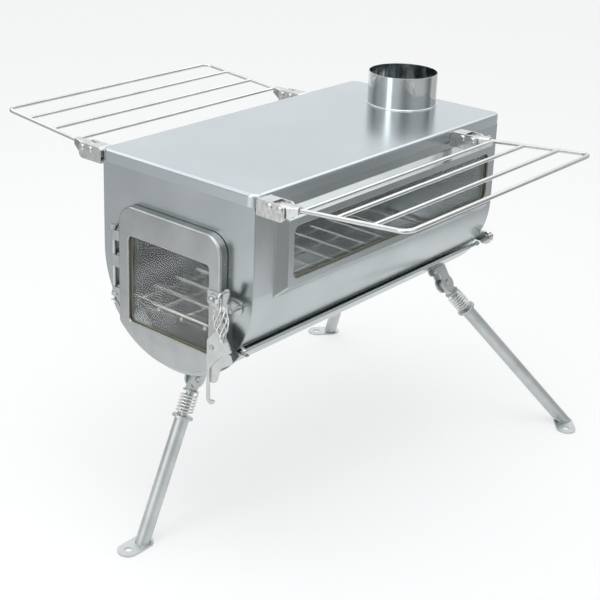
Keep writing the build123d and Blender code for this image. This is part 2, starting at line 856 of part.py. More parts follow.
pivot_x = door_half - latch_pivot_in
pivot_z = below_top(latch_pivot_drop)
base_face = door_face - latch_base_wall
with BuildPart() as latch_base:
    with BuildSketch(front(door_face)) as base_outline:
        with Locations((door_half - door_edge_radius / 2, below_top(latch_base_drop))):
            Rectangle(latch_base_width, latch_base_height, align=(Align.MAX, Align.MAX))
        fillet(base_outline.vertices(), 2 * latch_base_wall)
    extrude(amount=latch_base_wall)
save(latch_base, "latch_base")

arm_back = base_face - latch_play
arm_face = arm_back - latch_wall
tab_x = pivot_x + latch_tab_side
tab_z = below_top(latch_tab_drop)
notch_width = 2 * (keeper_pin_radius + latch_notch_play)
notch_tilt = math.degrees(math.atan2(pivot_z - stud_pin_z, stud_pin_x - pivot_x))
with BuildPart() as latch_lever:
    extrude(bar(front(arm_back), (pivot_x, pivot_z), (stud_pin_x, stud_pin_z), latch_arm_radius),
            amount=latch_wall)
    tab_root = ((pivot_x + stud_pin_x) / 2 + latch_tab_radius, (pivot_z + stud_pin_z) / 2)
    extrude(bar(front(arm_back), tab_root, (tab_x, tab_z), latch_tab_radius), amount=latch_wall)
    with BuildSketch(front(arm_back)):
        with Locations((stud_pin_x, stud_pin_z)):
            Circle(notch_width / 2)
            Rectangle(notch_width + latch_notch_flare, 3 * latch_arm_radius, rotation=-notch_tilt,
                      align=(Align.CENTER, Align.MAX))
        with Locations((pivot_x, pivot_z)):
            Circle(latch_rivet_hole + hinge_play)
    extrude(amount=latch_wall, mode=Mode.SUBTRACT)
save(latch_lever, "latch_lever")

# Grip: a stem from the latch's tab, two ferrules and a cage of twisted wires
grip_y = front_y - grip_forward
grip_top = Vector(tab_x, grip_y, tab_z - grip_top_drop)
grip_end = grip_top + Vector(grip_lean, 0, -grip_length)
grip_axis = (grip_end - grip_top).normalized()
stem_corner = grip_top - grip_axis * grip_stem_bend
with BuildPart() as latch_stem:
    with BuildLine():
        FilletPolyline((stem_corner.X, arm_face, stem_corner.Z), tuple(stem_corner), tuple(grip_end),
                       radius=grip_stem_bend)
    with BuildSketch(front(arm_face)):
        with Locations((stem_corner.X, stem_corner.Z)):
            Circle(grip_stem_radius)
    sweep()
save(latch_stem, "latch_stem")

grip_frame = Plane(grip_top, x_dir=Vector(0, 1, 0), z_dir=grip_axis)
wire_start = ferrule_length
wire_length = (grip_end - grip_top).length - 2 * ferrule_length
with BuildPart() as grip_ferrules:
    for at in (0, (grip_end - grip_top).length - ferrule_length):
        with BuildSketch(grip_frame.offset(at)):
            Circle(ferrule_radius)
            Circle(grip_stem_radius, mode=Mode.SUBTRACT)
        extrude(amount=ferrule_length)
save(grip_ferrules, "grip_ferrules")


def cage_wire(index):
    """One wire of the cage: straight stubs at the ferrules, a bulge and half a turn between."""
    points, tangents = [], []
    stub = 2 * grip_wire_radius
    run = wire_length - 2 * stub
    phase = 360.0 * index / grip_wires
    for k in range(grip_steps + 1):
        share = k / grip_steps
        turn = math.radians(phase + grip_twist * share)
        bulge = math.sin(math.pi * share)
        swell = bulge**grip_fullness if 0 < share < 1 else 0
        r = grip_end_radius + (grip_radius - grip_end_radius) * swell
        points.append(Vector(r * math.cos(turn), r * math.sin(turn), wire_start + stub + run * share))
        slope = (grip_radius - grip_end_radius) * math.pi * math.cos(math.pi * share) * grip_slope
        spin = r * math.radians(grip_twist)
        along = Vector(slope * math.cos(turn) - spin * math.sin(turn),
                       slope * math.sin(turn) + spin * math.cos(turn), run)
        tangents.append(along.normalized() if 0 < share < 1 else Vector(0, 0, 1))
    inner = [Edge.make_line(points[0] - Vector(0, 0, stub), points[0])]
    inner += biarc_path(points, tangents)
    inner.append(Edge.make_line(points[-1], points[-1] + Vector(0, 0, stub)))
    return Wire(inner), points[0] - Vector(0, 0, stub)


with BuildPart() as grip_cage:
    for i in range(grip_wires):
        route, begin = cage_wire(i)
        placed = grip_frame.location * route
        start_point = grip_frame.from_local_coords(begin)
        with BuildSketch(Plane(start_point, z_dir=grip_axis)):
            Circle(grip_wire_radius)
        sweep(path=placed)
save(grip_cage, "grip_cage")

# Air lever: a stepped plate on the door's lower corner with a hanging finger strap
lever_x = door_half - lever_pivot_in
lever_z = below_top(lever_pivot_drop)
lever_back = door_face - latch_play
lever_mid = lever_back - lever_back_wall
lever_tip = (door_half + lever_tip_out, below_top(lever_tip_drop))
crown = (door_half, below_top(lever_crown_drop))
waist = (door_half - lever_strap_width, below_top(lever_waist_drop))
low_lobe = (lever_x, below_top(lever_low_lobe_drop))
high_lobe = (lever_tip[0] - lever_lobe_radius, below_top(lever_lobe_drop))
strap_x = lever_x - lever_lobe_radius
strap_top = waist[1] - lever_lobe_radius
strap_end = below_top(lever_strap_drop)
crown_middle = ((crown[0] + lever_tip[0]) / 2 + lever_crown_rise,
                (crown[1] + lever_tip[1]) / 2 + lever_crown_rise)
strap_middle = ((lever_tip[0] + strap_x) / 2 - lever_crown_rise, waist[1] + lever_lobe_radius)
with BuildPart() as air_lever:
    with BuildSketch(front(lever_mid)) as plate_outline:
        with BuildLine():
            l1 = Line((strap_x, lever_z + lever_lobe_radius), crown)
            l2 = ThreePointArc(crown, crown_middle, lever_tip)
            l3 = ThreePointArc(lever_tip, strap_middle, (strap_x + lever_strap_width, strap_top))
            Polyline(l3 @ 1, (strap_x, strap_top), l1 @ 0)
        make_face()
        fillet(plate_outline.vertices().sort_by(Axis.X)[-1], lever_tip_round)
        with Locations((strap_x, strap_top + lever_strap_width)):
            Rectangle(lever_strap_width, strap_top + lever_strap_width - strap_end,
                      align=(Align.MIN, Align.MAX))
    extrude(amount=lever_wall)
    with BuildSketch(front(lever_mid)):
        with Locations((strap_x + lever_strap_width / 2 + lever_hook_radius, strap_end)):
            Circle(lever_hook_radius + lever_strap_width / 2)
            Circle(lever_hook_radius - lever_strap_width / 2, mode=Mode.SUBTRACT)
            Rectangle(4 * lever_hook_radius, 2 * lever_hook_radius, align=(Align.CENTER, Align.MIN),
                      mode=Mode.SUBTRACT)
    extrude(amount=lever_wall)
    for begin, end, r in ((waist, (lever_x, lever_z), lever_lobe_radius),
                          (waist, high_lobe, lever_lobe_radius),
                          (waist, low_lobe, lever_low_lobe_radius)):
        extrude(bar(front(lever_back), begin, end, r), amount=lever_back_wall)
    with BuildSketch(front(lever_back)):
        with Locations((lever_x, lever_z)):
            Circle(latch_rivet_hole + hinge_play)
    extrude(amount=lever_back_wall + lever_wall, mode=Mode.SUBTRACT)
save(air_lever, "air_lever")

latch_head = arm_face - latch_play
lever_head = lever_mid - lever_wall - latch_play
with BuildPart() as door_rivets:
    for x, z, seat, head in ((pivot_x, pivot_z, base_face, latch_head),
                             (lever_x, lever_z, door_face, lever_head)):
        with BuildSketch(front(seat)):
            with Locations((x, z)):
                Circle(latch_rivet_hole)
        extrude(amount=seat - head)
    with BuildSketch(front(latch_head)):
        with Locations((pivot_x, pivot_z)):
            Circle(latch_rivet_radius + rivet_washer_lap)
    extrude(amount=rivet_washer)
    with BuildSketch(front(lever_head)):
        with Locations((lever_x, lever_z)):
            Circle(latch_rivet_radius)
    extrude(amount=lever_rivet_head)
    with BuildSketch(front(latch_head - rivet_washer)):
        with Locations((pivot_x, pivot_z)):
            Circle(latch_rivet_radius)
    extrude(amount=rivet_head)
    dome = door_rivets.faces().filter_by(Axis.Y).sort_by(Axis.Y)[0]
    fillet(dome.edges(), rivet_dome * rivet_head)
save(door_rivets, "door_rivets")

# Folding shelves: wire racks in hoods that turn in brackets on the top plate's lip
shelf_ys = (front_y + shelf_front, front_y + shelf_front + shelf_span)
shelf_z = below_top(shelf_pivot_drop)
tilt = math.radians(shelf_tilt)


def shelf_plane(sign):
    """Plane of a raised shelf, with its own X pointing away from the firebox."""
    out = Vector(sign * math.cos(tilt), 0, math.sin(tilt))
    up = Vector(-sign * math.sin(tilt), 0, math.cos(tilt))
    return Plane((sign * shelf_pivot_side, 0, shelf_z), x_dir=out, z_dir=up)


bracket_start = lid_half + bracket_start_gap
bracket_half = bracket_gap / 2 + bracket_wall
bracket_low = below_top(bracket_top_drop + bracket_height)
bracket_roof_end = shelf_pivot_side - math.hypot(hood_back, hood_depth) - bracket_roof_play
with BuildPart() as right_brackets:
    for y in shelf_ys:
        with BuildSketch(front(y + bracket_half)) as cheek:
            with Locations((bracket_start, bracket_low)):
                Rectangle(bracket_end - bracket_start, bracket_height, align=(Align.MIN, Align.MIN))
            fillet(cheek.vertices().group_by(Axis.X)[-1], bracket_round)
            fillet(cheek.vertices().group_by(Axis.X)[0].sort_by(Axis.Y)[-1], bracket_back_round)
        extrude(amount=2 * bracket_half)
        with BuildSketch(Plane.XY.offset(bracket_low)):
            with Locations((bracket_start + bracket_web, y)):
                Rectangle(bracket_end, bracket_gap, align=(Align.MIN, Align.CENTER))
        extrude(amount=bracket_height - bracket_wall, mode=Mode.SUBTRACT)
        with BuildSketch(Plane.XY.offset(bracket_low)):
            with Locations((bracket_roof_end, y)):
                Rectangle(bracket_end, bracket_gap, align=(Align.MIN, Align.CENTER))
        extrude(amount=bracket_height, mode=Mode.SUBTRACT)
        with BuildSketch(front(y + bracket_half)):
            with Locations((lock_pin_side, shelf_z), (shelf_pivot_side, shelf_z)):
                Circle(bracket_pin_radius + bracket_pin_play)
        extrude(amount=2 * bracket_half, mode=Mode.SUBTRACT)

with BuildPart() as shelf_brackets:
    add(right_brackets.part)
    mirror(right_brackets.part, about=Plane.YZ)
save(shelf_brackets, "shelf_brackets")

with BuildPart() as shelf_pins:
    for y in shelf_ys:
        for x in (lock_pin_side, shelf_pivot_side, -lock_pin_side, -shelf_pivot_side):
            with BuildSketch(front(y + bracket_half)):
                with Locations((x, shelf_z)):
                    Circle(bracket_pin_radius)
            extrude(amount=2 * bracket_half)
            for face, up in ((y + bracket_half, -1), (y - bracket_half, 1)):
                with BuildSketch(front(face)):
                    with Locations((x, shelf_z)):
                        Circle(bracket_pin_head)
                extrude(amount=up * bracket_pin_head_height)
    head_ys = [y + turn * (bracket_half + bracket_pin_head_height) for y in shelf_ys for turn in (1, -1)]
    domes = shelf_pins.faces().filter_by(Axis.Y).filter_by(
        lambda f: min(abs(f.center().Y - y) for y in head_ys) < 0.01)
    fillet(domes.edges(), rivet_dome * bracket_pin_head_height)
save(shelf_pins, "shelf_pins")

hood_half = bracket_gap / 2 - hood_play
hood_rise = shelf_wire / 2 + hood_rod_gap + hood_wall
flat = shelf_plane(1)
rack_reach = (shelf_reach - shelf_pivot_side) / math.cos(tilt)


def on_shelf(out, y, up=0):
    """Point on the right shelf: distance out from its pivot, place along the stove, height over it."""
    return flat.from_local_coords((out, y, up))


with BuildPart() as rack:
    with BuildLine():
        FilletPolyline(on_shelf(hood_rod_back, shelf_ys[0]), on_shelf(rack_reach, shelf_ys[0]),
                       on_shelf(rack_reach, shelf_ys[1]), on_shelf(hood_rod_back, shelf_ys[1]),
                       radius=shelf_corner)
    with BuildSketch(Plane(on_shelf(hood_rod_back, shelf_ys[0]), z_dir=flat.x_dir)):
        Circle(shelf_wire / 2)
    sweep()
    for bar_side in shelf_bars:
        place = (bar_side - shelf_pivot_side) / math.cos(tilt)
        with BuildSketch(Plane(on_shelf(place, shelf_ys[0]), x_dir=(1, 0, 0), z_dir=(0, 1, 0))):
            Circle(shelf_bar_wire / 2)
        extrude(amount=shelf_span)
save(rack, "shelf_rack_right")

hood_points = (
    (-hood_back, hood_rise),
    (hood_forward, hood_rise),
    (hood_forward, -hood_rise),
    (hood_forward / 3, -hood_depth),
    (-hood_back, -hood_depth),
)
hollow_points = (
    (-2 * hood_back, hood_rise - hood_wall),
    (2 * hood_forward, hood_rise - hood_wall),
    (2 * hood_forward, -2 * hood_depth),
    (-2 * hood_back, -2 * hood_depth),
)
hood_tip_half = shelf_wire / 2 + hood_rod_gap + hood_wall


def hood_block(half, points, tip_half):
    """Solid with a hood's side profile, narrowed in plan from its knee to its tip."""
    corners = [on_shelf(u, 0, w) for u, w in points]
    with BuildPart() as block:
        with BuildSketch(front(half)):
            with BuildLine():
                Polyline(*[(c.X, c.Z) for c in corners], close=True)
            make_face()
        extrude(amount=2 * half)
        with BuildSketch(flat.offset(-3 * hood_depth)):
            with BuildLine():
                Polyline((-3 * hood_back, -half), (hood_knee, -half), (hood_forward, -tip_half),
                         (3 * hood_forward, -tip_half), (3 * hood_forward, tip_half),
                         (hood_forward, tip_half), (hood_knee, half), (-3 * hood_back, half), close=True)
            make_face()
        extrude(amount=6 * hood_depth, mode=Mode.INTERSECT)
    return block.part


with BuildPart() as hood:
    add(hood_block(hood_half, hood_points, hood_tip_half))
    top_face = hood.faces().filter_by(lambda f: f.normal_at().dot(flat.z_dir) > 0.99)[0]
    fillet(top_face.edges().filter_by(lambda e: abs(e.tangent_at(0).Y) < 0.9), hood_top_round)
    add(hood_block(hood_half - hood_wall, hollow_points, hood_tip_half - hood_wall), mode=Mode.SUBTRACT)
    with BuildSketch(front(hood_half)):
        with Locations((shelf_pivot_side, shelf_z)):
            Circle(bracket_pin_radius + bracket_pin_play)
    extrude(amount=2 * hood_half, mode=Mode.SUBTRACT)

with BuildPart() as hoods:
    with Locations(*[(0, y, 0) for y in shelf_ys]):
        add(hood.part)
save(hoods, "shelf_hoods_right")

with BuildPart() as left_rack:
    mirror(rack.part, about=Plane.YZ)
save(left_rack, "shelf_rack_left")

with BuildPart() as left_hoods:
    mirror(hoods.part, about=Plane.YZ)
save(left_hoods, "shelf_hoods_left")


def leg_plane(turn, y):
    """Plane at a leg's pivot: X along the bolt, Y along the stove, Z towards the belly's axis."""
    angle = math.radians(turn)
    centre = Vector(pivot_radius * math.sin(angle), y, axis_z - pivot_radius * math.cos(angle))
    return Plane(centre, x_dir=(math.cos(angle), 0, math.sin(angle)),
                 z_dir=(-math.sin(angle), 0, math.cos(angle)))


def cheek_outline(plane, sign):
    """Cheek of a leg bracket: rounded round the bolt, with a stop lobe at the top."""
    top = pivot_radius - shield_outer - cheek_base_gap
    half = cheek_width / 2
    with BuildSketch(plane) as outline:
        Circle(cheek_round)
        with Locations((0, top / 2)):
            Rectangle(cheek_width, top)
        with Locations((-sign * (half + lobe_radius / 2), top - lobe_radius)):
            Circle(lobe_radius)
            Rectangle(lobe_radius, 2 * lobe_radius,
                      align=(Align.MIN if sign > 0 else Align.MAX, Align.CENTER))
        Circle(bolt_radius + bolt_play, mode=Mode.SUBTRACT)
    return outline.sketch


spring_start = tongue_reach + seat_thickness
spring_end = flange_at
spring_rise = spring_end - spring_start - 2 * (spring_end_bend + 2 * spring_wire_radius)


def spring_route():
    """Leg spring's wire along +Z: straight stub, bend, turns, bend, straight stub."""
    points, tangents = [], []
    halves = int(spring_coils * 2)
    first_z = spring_start + 2 * spring_wire_radius + spring_end_bend
    pitch_slope = spring_rise / (math.pi * halves)
    for k in range(halves + 1):
        turn = math.pi * k
        points.append(Vector(spring_mean_radius * math.cos(turn), spring_mean_radius * math.sin(turn),
                             first_z + spring_rise * k / halves))
        tangents.append(Vector(-spring_mean_radius * math.sin(turn), spring_mean_radius * math.cos(turn),
                               pitch_slope).normalized())
    coils = biarc_path(points, tangents)
    t_in, t_out = tangents[0], tangents[-1]
    flat_in = Vector(t_in.X, t_in.Y, 0).normalized()
    flat_out = Vector(t_out.X, t_out.Y, 0).normalized()
    begin = points[0] - flat_in * spring_end_bend - Vector(0, 0, spring_end_bend)
    finish = points[-1] + flat_out * spring_end_bend + Vector(0, 0, spring_end_bend)
    stub = Vector(0, 0, 2 * spring_wire_radius)
    lead_in = biarc_path([begin, points[0]], [Vector(0, 0, 1), t_in])
    lead_out = biarc_path([points[-1], finish], [t_out, Vector(0, 0, 1)])
    edges = [Edge.make_line(begin - stub, begin)] + lead_in + coils + lead_out
    edges.append(Edge.make_line(finish, finish + stub))
    return Wire(edges), begin - stub


spring_wire_path, spring_begin = spring_route()
spring_far = math.pi * spring_mean_radius
print("leg spring gap", round(least_gap(spring_wire_path, spring_wire_radius, spring_far), 2))
print("cage wire gap", round(least_gap(cage_wire(0)[0], grip_wire_radius, 3 * grip_radius), 2))

cheek_top = pivot_radius - shield_outer - cheek_base_gap
cheek_out = cheek_gap / 2 + cheek_wall

# Brackets: two cheeks and the plate that joins them under the shield
with BuildPart() as leg_brackets:
    for name, turn, y, lean, foot_turn in leg_places:
        pivot = leg_plane(turn, y)
        for x in (cheek_gap / 2, -cheek_out):
            level = Plane(pivot.from_local_coords((x, 0, 0)), x_dir=pivot.y_dir, z_dir=pivot.x_dir)
            extrude(cheek_outline(level, math.copysign(1, lean)), amount=cheek_wall)
        with BuildSketch(pivot.offset(cheek_top - cheek_wall)):
            Rectangle(2 * cheek_out, cheek_width)
        extrude(amount=cheek_wall)
save(leg_brackets, "leg_brackets")

with BuildPart() as leg_bolts:
    for name, turn, y, lean, foot_turn in leg_places:
        pivot = leg_plane(turn, y)
        bolt_back = Plane(pivot.from_local_coords((-cheek_out, 0, 0)), x_dir=pivot.y_dir,
                          z_dir=pivot.x_dir)
        with BuildSketch(bolt_back):
            Circle(bolt_radius)
        extrude(amount=2 * cheek_out)
        for at, direction in ((0, -1), (2 * cheek_out, 1)):
            with BuildSketch(bolt_back.offset(at)):
                Circle(bolt_head_radius)
            extrude(amount=direction * bolt_head_height, taper=20)
save(leg_bolts, "leg_bolts")

# Each leg is drawn along itself: Z of its plane points down the leg from the bolt
for name, turn, y, lean, foot_turn in leg_places:
    pivot = leg_plane(turn, y)
    lean_angle = math.radians(lean)
    down = (pivot.z_dir * -math.cos(lean_angle) + pivot.y_dir * math.sin(lean_angle)).normalized()
    along = Plane(pivot.origin, x_dir=pivot.x_dir, z_dir=down)
    leg_length = (pivot.origin.Z - foot_thickness) / -down.Z

    with BuildPart() as rod:
        tongue_side = Plane(pivot.from_local_coords((-tongue_width / 2, 0, 0)), x_dir=down,
                            z_dir=pivot.x_dir)
        with BuildSketch(tongue_side):
            Circle(tongue_half)
            Rectangle(tongue_reach, 2 * tongue_half, align=(Align.MIN, Align.CENTER))
            Circle(bolt_radius + bolt_play, mode=Mode.SUBTRACT)
        extrude(amount=tongue_width)
        with BuildSketch(along.offset(tongue_reach)):
            Circle(seat_radius)
        extrude(amount=seat_thickness)
        with BuildSketch(along.offset(tongue_reach + seat_thickness)):
            Circle(inner_rod_radius)
        extrude(amount=flange_at - tongue_reach - seat_thickness)
    save(rod, f"leg_rod_{name}")

    with BuildPart() as spring:
        with BuildSketch(Plane(along.from_local_coords(spring_begin), z_dir=down)):
            Circle(spring_wire_radius)
        sweep(path=along.location * spring_wire_path)
    save(spring, f"leg_spring_{name}")

    with BuildPart() as flange:
        with BuildSketch(along.offset(flange_at)):
            Circle(flange_radius)
        extrude(amount=flange_thickness)
        fillet(flange.edges(), flange_thickness / 4)

    with BuildPart() as tube:
        with BuildSketch(along.offset(flange_at + flange_thickness)):
            Circle(tube_radius)
            Circle(tube_radius - tube_wall, mode=Mode.SUBTRACT)
        extrude(amount=leg_length - flange_at - flange_thickness + 2 * tube_radius)
        split(bisect_by=Plane.XY.offset(foot_thickness), keep=Keep.TOP)
        add(flange.part)
    save(tube, f"leg_tube_{name}")

    heel = pivot.origin + down * leg_length
    toe_turn = math.radians(foot_turn)
    toe = Vector(math.sin(toe_turn), -math.cos(toe_turn), 0) * foot_reach
    with BuildPart() as foot:
        with BuildSketch(Plane.XY):
            with Locations((heel.X + toe.X / 2, heel.Y + toe.Y / 2)):
                SlotCenterToCenter(foot_reach, 2 * foot_radius,
                                   rotation=math.degrees(math.atan2(toe.Y, toe.X)))
            with Locations((heel.X + toe.X, heel.Y + toe.Y)):
                Circle(peg_hole_radius, mode=Mode.SUBTRACT)
        extrude(amount=foot_thickness)
    save(foot, f"leg_foot_{name}")
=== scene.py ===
import json
import math
import bpy
from mathutils import Euler, Matrix, Vector

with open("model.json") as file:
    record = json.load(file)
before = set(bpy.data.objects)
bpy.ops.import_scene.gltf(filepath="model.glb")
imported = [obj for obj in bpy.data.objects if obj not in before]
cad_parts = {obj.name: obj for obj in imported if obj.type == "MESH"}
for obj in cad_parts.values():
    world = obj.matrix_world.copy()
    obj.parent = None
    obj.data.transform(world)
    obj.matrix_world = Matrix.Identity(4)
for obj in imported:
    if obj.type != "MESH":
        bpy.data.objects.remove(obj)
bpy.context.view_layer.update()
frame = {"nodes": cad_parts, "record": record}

cadNodes = frame["nodes"]
millimetre = 0.001


# Helpers

def linearFromHex(text):
    channels = [int(text[i:i + 2], 16) / 255 for i in (1, 3, 5)]
    linear = [c / 12.92 if c <= 0.04045 else ((c + 0.055) / 1.055) ** 2.4 for c in channels]
    return (*linear, 1.0)


def addNode(tree, kind, values=None, links=None, **settings):
    node = tree.nodes.new(kind)
    for name, value in settings.items():
        setattr(node, name, value)
    for socket, value in (values or {}).items():
        node.inputs[socket].default_value = value
    for socket, source in (links or {}).items():
        tree.links.new(source, node.inputs[socket])
    return node


def perMetre(sizeInMillimetres):
    return 1.0 / (sizeInMillimetres * millimetre)  # how many of a pattern's cells lie in a metre


def grey(level):
    return (level, level, level, 1.0)


def newMaterial(name):
    material = bpy.data.materials.new(name)
    material.use_nodes = True
    tree = material.node_tree
    tree.nodes.clear()
    shader = addNode(tree, "ShaderNodeBsdfPrincipled")
    addNode(tree, "ShaderNodeOutputMaterial", links={"Surface": shader.outputs["BSDF"]})
    return material, tree, shader


def showSurface(tree, surface):
    output = next(node for node in tree.nodes if node.type == "OUTPUT_MATERIAL")
    tree.links.new(surface, output.inputs["Surface"])


def rayMask(tree, *kinds):
    path = addNode(tree, "ShaderNodeLightPath")
    total = path.outputs[kinds[0]]
    for kind in kinds[1:]:
        both = addNode(tree, "ShaderNodeMath", links={0: total, 1: path.outputs[kind]}, operation="MAXIMUM")
        total = both.outputs[0]
    return total


# Pale floor of the studio

studioFloor = {
    "half": 6.0,
    "colour": "#CBCCCD",
    "roughness": 0.9,
    "glow": 0.46,           # what the eye and the metal add to the floor, so that it reads white
}


def makeFloor():
    bpy.ops.mesh.primitive_plane_add(size=2 * studioFloor["half"], location=(0, 0, 0))
    floor = bpy.context.object
    floor.name = "studioFloor"
    material, tree, shader = newMaterial("palePaintedFloor")
    shader.inputs["Base Color"].default_value = linearFromHex(studioFloor["colour"])
    shader.inputs["Roughness"].default_value = studioFloor["roughness"]
    shader.inputs["Specular IOR Level"].default_value = 0.0
    shown = rayMask(tree, "Is Camera Ray", "Is Glossy Ray", "Is Transmission Ray")
    glow = addNode(tree, "ShaderNodeMath", {1: studioFloor["glow"]}, {0: shown}, operation="MULTIPLY")
    emission = addNode(tree, "ShaderNodeEmission", links={"Strength": glow.outputs[0]})
    both = addNode(tree, "ShaderNodeAddShader", links={0: shader.outputs["BSDF"], 1: emission.outputs[0]})
    showSurface(tree, both.outputs[0])
    floor.data.materials.append(material)


# The soft boxes and dark flags that bare metal mirrors, as directions round the stove:
# azimuth in degrees from the front towards the window side, then how bright it is there

roomTones = ((0, 1.10), (18, 0.90), (45, 0.34), (80, 0.66), (108, 0.60), (138, 0.26), (152, 0.66),
             (172, 0.60), (205, 0.98), (240, 1.00), (268, 0.66), (292, 0.32), (312, 0.58), (326, 0.70),
             (345, 1.10), (360, 1.10))
roomTint = (1.0, 1.005, 1.012)   # the room is a shade cool


def toneRamp(tree, x, y):
    # the room's tones by direction, from the two level parts of a place or a direction
    minusY = addNode(tree, "ShaderNodeMath", {1: -1.0}, {0: y}, operation="MULTIPLY")
    turn = addNode(tree, "ShaderNodeMath", links={0: x, 1: minusY.outputs[0]}, operation="ARCTAN2")
    share = addNode(tree, "ShaderNodeMath", {1: 1 / math.tau, 2: 1.0}, {0: turn.outputs[0]},
                    operation="MULTIPLY_ADD")
    wrapped = addNode(tree, "ShaderNodeMath", {1: 1.0}, {0: share.outputs[0]}, operation="MODULO")
    ramp = addNode(tree, "ShaderNodeValToRGB", links={"Fac": wrapped.outputs[0]})
    ramp.color_ramp.interpolation = "EASE"
    stops = ramp.color_ramp.elements
    stops.remove(stops[-1])
    for angle, tone in roomTones:
        stop = stops[0] if angle == 0 else stops.new(angle / 360)
        stop.position = angle / 360
        stop.color = (*(tone * tint for tint in roomTint), 1.0)
    return ramp.outputs["Color"]


# A glowing ring on the floor round the stove, seen only in bare metal's reflections. It paints the room's
# soft boxes and dark flags into the metal's reflection of the floor as painted reflection and painted shade,
# and lights nothing

reflectionGlowRing = {
    "inner": 0.62,          # the bare floor's radius round the stove
    "outer": 5.0,
    "fade": 0.45,
    "rise": 0.004,
}


def makeReflectionGlowRing():
    bpy.ops.mesh.primitive_plane_add(size=2 * reflectionGlowRing["outer"], location=(0, 0, reflectionGlowRing["rise"]))
    ringCard = bpy.context.object
    ringCard.name = "paintedReflectionRing"
    material, tree, shader = newMaterial("reflectionGlowRing")
    tree.nodes.remove(shader)
    coordinates = addNode(tree, "ShaderNodeTexCoord")
    parts = addNode(tree, "ShaderNodeSeparateXYZ", links={0: coordinates.outputs["Object"]})
    tones = toneRamp(tree, parts.outputs["X"], parts.outputs["Y"])
    # painted reflection: the ring glows with the room's tones instead of being lit by the lamps
    emission = addNode(tree, "ShaderNodeEmission", links={"Color": tones})
    clear = addNode(tree, "ShaderNodeBsdfTransparent")
    level = addNode(tree, "ShaderNodeCombineXYZ", links={"X": parts.outputs["X"], "Y": parts.outputs["Y"]})
    reach = addNode(tree, "ShaderNodeVectorMath", links={0: level.outputs[0]}, operation="LENGTH")
    start = reflectionGlowRing["inner"]
    cover = addNode(tree, "ShaderNodeMapRange", {"From Min": start, "From Max": start + reflectionGlowRing["fade"]},
                    {"Value": reach.outputs["Value"]}, interpolation_type="SMOOTHSTEP")
    both = addNode(tree, "ShaderNodeMixShader",
                   links={"Fac": cover.outputs[0], 1: clear.outputs[0], 2: emission.outputs[0]})
    showSurface(tree, both.outputs[0])
    ringCard.data.materials.append(material)
    # only glossy rays see the ring, so it shows only as painted reflection and painted shade in the metal,
    # and casts no light or shadow
    for ray in ("camera", "diffuse", "transmission", "volume_scatter", "shadow"):
        setattr(ringCard, "visible_" + ray, False)


# The white room: its tones at eye level, a ceiling, and a bright strip lamp half way up.
# Heights are a direction's Z

room = {
    "fill": 0.72,                        # even light from all round on matt surfaces
    "ceiling": (0.98, 0.99, 1.0, 1.0),
    "ceilingStart": 0.30,
    "ceilingFull": 0.75,
    "stripStops": ((0.50, 0.0), (0.60, 1.0), (0.66, 1.0), (0.76, 0.0)),
    "stripLevel": 1.9,
}


def makeWorld():
    world = bpy.data.worlds.new("whiteStudio")
    bpy.context.scene.world = world
    world.use_nodes = True
    tree = world.node_tree
    tree.nodes.clear()
    coordinates = addNode(tree, "ShaderNodeTexCoord")
    parts = addNode(tree, "ShaderNodeSeparateXYZ", links={0: coordinates.outputs["Generated"]})
    tones = toneRamp(tree, parts.outputs["X"], parts.outputs["Y"])
    rise = addNode(tree, "ShaderNodeMapRange",
                   {"From Min": room["ceilingStart"], "From Max": room["ceilingFull"]},
                   {"Value": parts.outputs["Z"]})
    seen = addNode(tree, "ShaderNodeMix", {"B": room["ceiling"]}, {"Factor": rise.outputs[0], "A": tones},
                   data_type="RGBA")
    # rounded edges and wires catch the strip lamp as a line
    strip = addNode(tree, "ShaderNodeValToRGB", links={"Fac": parts.outputs["Z"]})
    stops = strip.color_ramp.elements
    for spot, (height, glow) in enumerate(room["stripStops"]):
        stop = stops[spot] if spot < 2 else stops.new(height)
        stop.position = height
        stop.color = grey(glow)
    lit = addNode(tree, "ShaderNodeMix", {"B": grey(room["stripLevel"])},
                  {"Factor": strip.outputs["Color"], "A": seen.outputs["Result"]}, data_type="RGBA")
    # metal mirrors the room, the eye and the panes see white, and matt surfaces take an even fill
    mirrored = rayMask(tree, "Is Glossy Ray")
    plain = rayMask(tree, "Is Camera Ray", "Is Transmission Ray")
    first = addNode(tree, "ShaderNodeMix", {"A": grey(room["fill"]), "B": grey(1.0)}, {"Factor": plain},
                    data_type="RGBA")
    both = addNode(tree, "ShaderNodeMix",
                   links={"Factor": mirrored, "A": first.outputs["Result"], "B": lit.outputs["Result"]},
                   data_type="RGBA")
    background = addNode(tree, "ShaderNodeBackground", links={"Color": both.outputs["Result"]})
    addNode(tree, "ShaderNodeOutputWorld", links={"Surface": background.outputs[0]})


# Lamps: two soft boxes, and a small one under the lid that shows the grate and the walls
# through the panes

stoveMiddle = (0.0, 0.0, 0.3)
underLid = (0.0, -0.16, 0.478)
lamps = {
    "topBox": {"place": (0.2, -0.3, 2.0), "aim": stoveMiddle, "size": (1.6, 1.2), "power": 9.0},
    "frontBox": {"place": (-0.3, -2.3, 1.3), "aim": stoveMiddle, "size": (0.7, 1.2), "power": 5.0},
    "insideBox": {"place": underLid, "aim": (*underLid[:2], 0.0), "size": (0.14, 0.14), "power": 0.16},
}


def makeLamp(name, box):
    light = bpy.data.lights.new(name, "AREA")
    light.shape = "RECTANGLE"
    light.size, light.size_y = box["size"]
    light.energy = box["power"]
    lamp = bpy.data.objects.new(name, light)
    bpy.context.scene.collection.objects.link(lamp)
    place = Vector(box["place"])
    lamp.location = place
    lamp.rotation_euler = (Vector(box["aim"]) - place).to_track_quat("-Z", "Y").to_euler()
    lamp.visible_camera = False


# Camera, fitted to the photo's edges

cameraSetup = {
    "azimuth": 42.17,       # degrees round from the front towards the window side
    "elevation": 19.26,
    "roll": 1.22,
    "sensor": 36.0,
    "lens": 76.25,
    "place": (1.0147, -1.2694, 0.9496),
    "shift": (0.1, -0.1667),
    "clip": (0.05, 60.0),
}


